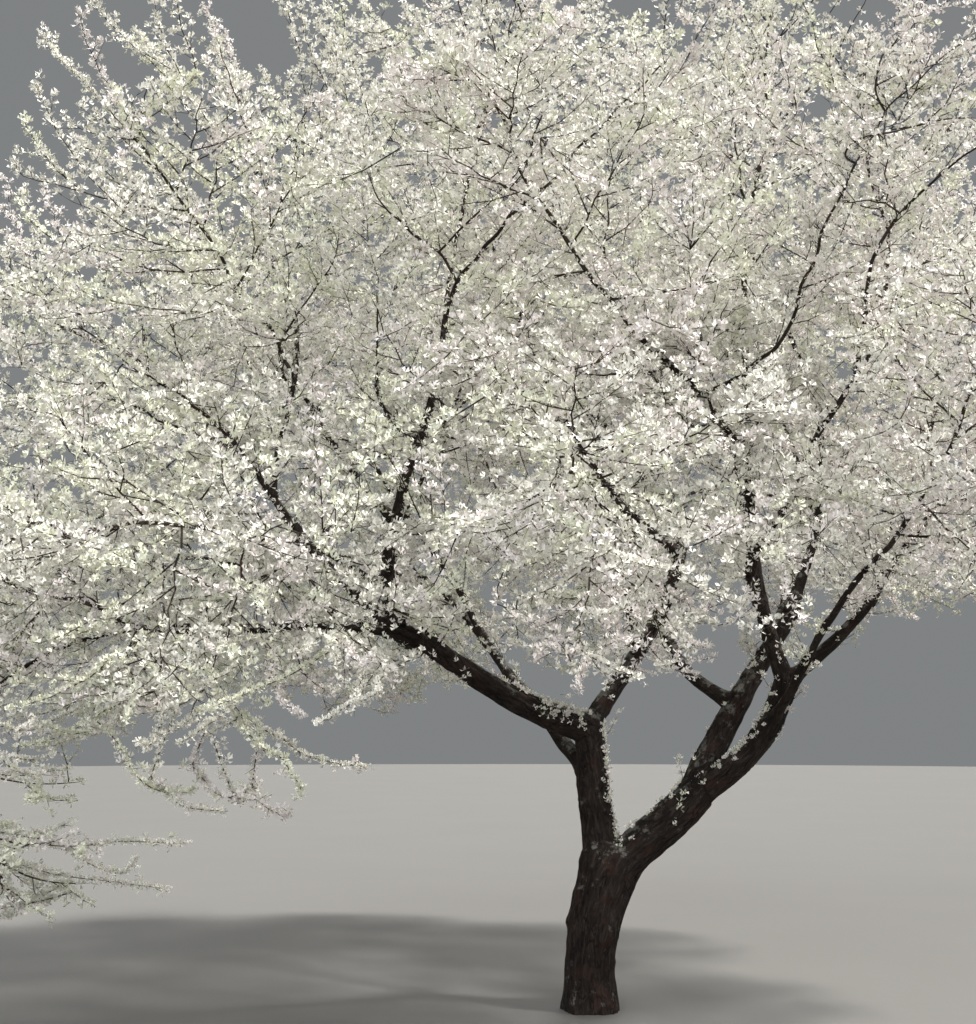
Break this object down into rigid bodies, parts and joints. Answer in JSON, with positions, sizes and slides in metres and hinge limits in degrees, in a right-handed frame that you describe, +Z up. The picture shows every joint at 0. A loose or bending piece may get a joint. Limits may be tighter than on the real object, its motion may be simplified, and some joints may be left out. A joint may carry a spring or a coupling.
{
  "type": "white-flowered redbud tree",
  "caption": "Small spreading tree in full white blossom: short leaning trunk, low fork, crooked dark limbs and a wide open crown of flowering twigs.",
  "frame": {"origin": "centre of the flat cut under the trunk, at ground level", "axes": "+Z up; -Y towards the side that the picture shows; +X to the right of that view, the way the trunk leans"},
  "size_m": [7.244, 6.724, 5.9356],
  "materials": {
    "bark": "rough dark grey-brown bark",
    "blossom": "matt white petals on thin dark twigs"
  },
  "bodies": {
    "root": {"trunk": "bark", "left_limb": "bark", "right_limb": "bark", "left_bough": "bark", "left_rise": "bark", "left_low_bough": "bark", "left_hanging_bough": "bark", "left_reach": "bark", "left_top_bough": "bark", "left_back_bough": "bark", "front_left_bough": "bark", "front_middle_bough": "bark", "front_left_upper": "bark", "back_left_bough": "bark", "back_left_upper": "bark", "mid_rise": "bark", "mid_arch": "bark", "front_bough": "bark", "back_upper": "bark", "back_top_bough": "bark", "inner_limb": "bark", "inner_rise": "bark", "back_bough": "bark", "back_right_bough": "bark", "back_right_upper": "bark", "outer_limb": "bark", "right_bough": "bark", "right_upper": "bark", "right_rise": "bark", "front_arch": "bark", "right_middle_bough": "bark", "front_right_upper": "bark", "front_right_bough": "bark", "blossom_left_hanging": "blossom", "blossom_left_low": "blossom", "blossom_front_left_low": "blossom", "blossom_front_low": "blossom", "blossom_front_right_low": "blossom", "blossom_right_low": "blossom", "blossom_back_right_low": "blossom", "blossom_back_low": "blossom", "blossom_back_left_low": "blossom", "blossom_left_back_low": "blossom", "blossom_left": "blossom", "blossom_front_left": "blossom", "blossom_front_middle": "blossom", "blossom_front": "blossom", "blossom_front_right": "blossom", "blossom_right_middle": "blossom", "blossom_right": "blossom", "blossom_back_right": "blossom", "blossom_back": "blossom", "blossom_back_left": "blossom", "blossom_middle": "blossom", "blossom_top_left": "blossom", "blossom_top": "blossom", "blossom_top_right": "blossom", "blossom_top_back_right": "blossom", "blossom_top_back": "blossom"}
  },
  "joints": []
}
